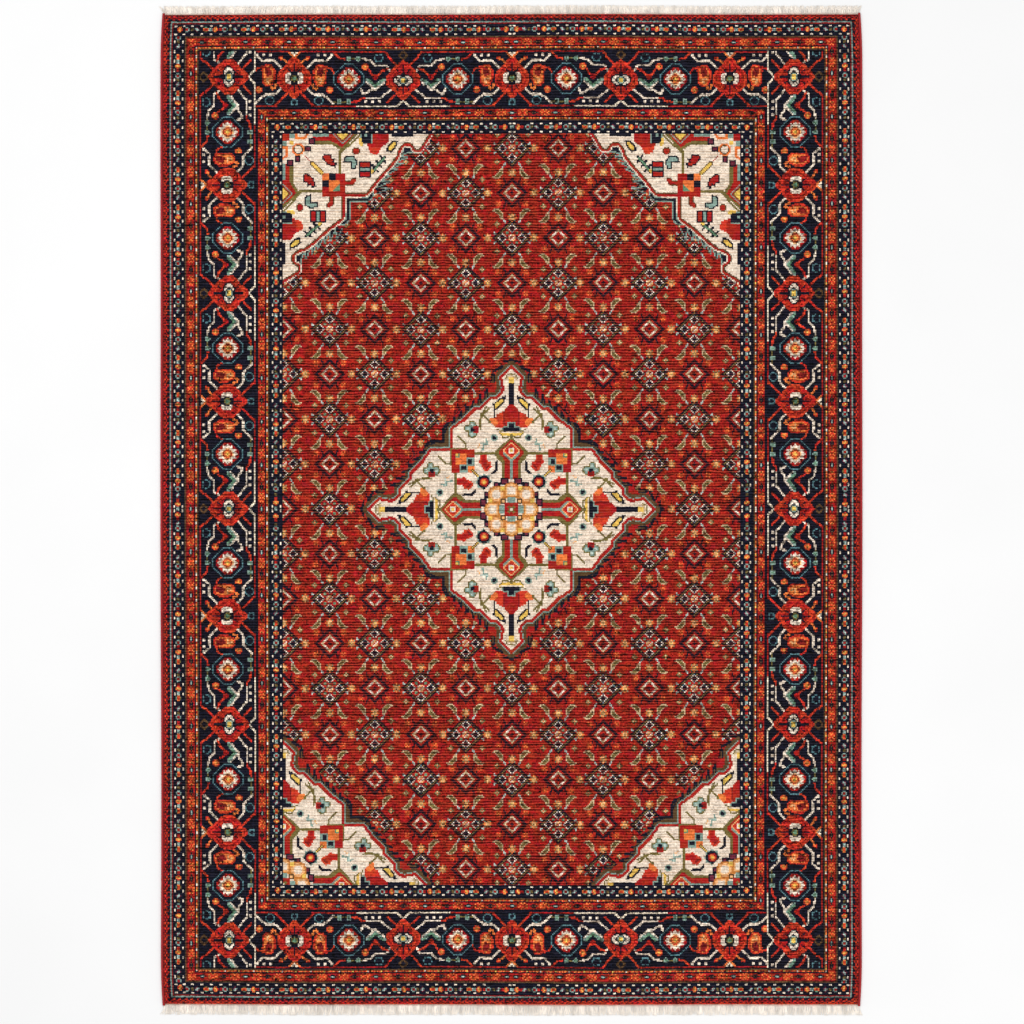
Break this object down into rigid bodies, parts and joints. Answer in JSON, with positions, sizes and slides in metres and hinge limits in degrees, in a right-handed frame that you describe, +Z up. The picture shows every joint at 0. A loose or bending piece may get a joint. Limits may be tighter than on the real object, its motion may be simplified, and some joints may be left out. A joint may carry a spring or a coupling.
{
  "type": "area rug",
  "caption": "Rectangular hand-knotted wool area rug with a stepped central medallion, corner pieces, patterned borders, bound sides and a short cotton fringe at both ends.",
  "frame": {"origin": "on the floor under the middle of the rug", "axes": "+Z up through the pile, +Y along the warps towards one fringed end, +X towards the right-hand bound side"},
  "size_m": [1.6, 2.3, 0.011],
  "materials": {
    "cotton": "undyed cotton yarn",
    "web_cotton": "tight plain weave of undyed cotton",
    "edge_wool": "red wool, matt",
    "bead_wool": "navy wool with coloured beads, matt",
    "stripe_wool": "red wool with blossoms, matt",
    "border_wool": "navy wool with palmettes, matt",
    "field_wool": "red wool with ribbed rows, matt",
    "medallion_wool": "cream wool with coloured motifs, matt"
  },
  "bodies": {
    "root": {"back_wefts": "cotton", "face_wefts": "cotton", "warp_yarns": "cotton", "front_end_web": "web_cotton", "back_end_web": "web_cotton", "left_side_cord": "cotton", "right_side_cord": "cotton", "left_side_binding": "edge_wool", "right_side_binding": "edge_wool", "medallion_pile": "medallion_wool", "front_left_corner_pile": "medallion_wool", "front_right_corner_pile": "medallion_wool", "back_right_corner_pile": "medallion_wool", "back_left_corner_pile": "medallion_wool", "field_pile": "field_wool", "front_edge_band_pile": "edge_wool", "back_edge_band_pile": "edge_wool", "left_edge_band_pile": "edge_wool", "right_edge_band_pile": "edge_wool", "front_outer_beads_pile": "bead_wool", "back_outer_beads_pile": "bead_wool", "left_outer_beads_pile": "bead_wool", "right_outer_beads_pile": "bead_wool", "front_outer_stripe_pile": "stripe_wool", "back_outer_stripe_pile": "stripe_wool", "left_outer_stripe_pile": "stripe_wool", "right_outer_stripe_pile": "stripe_wool", "front_main_border_pile": "border_wool", "back_main_border_pile": "border_wool", "left_main_border_pile": "border_wool", "right_main_border_pile": "border_wool", "front_inner_stripe_pile": "stripe_wool", "back_inner_stripe_pile": "stripe_wool", "left_inner_stripe_pile": "stripe_wool", "right_inner_stripe_pile": "stripe_wool", "front_inner_beads_pile": "bead_wool", "back_inner_beads_pile": "bead_wool", "left_inner_beads_pile": "bead_wool", "right_inner_beads_pile": "bead_wool"}
  },
  "joints": []
}
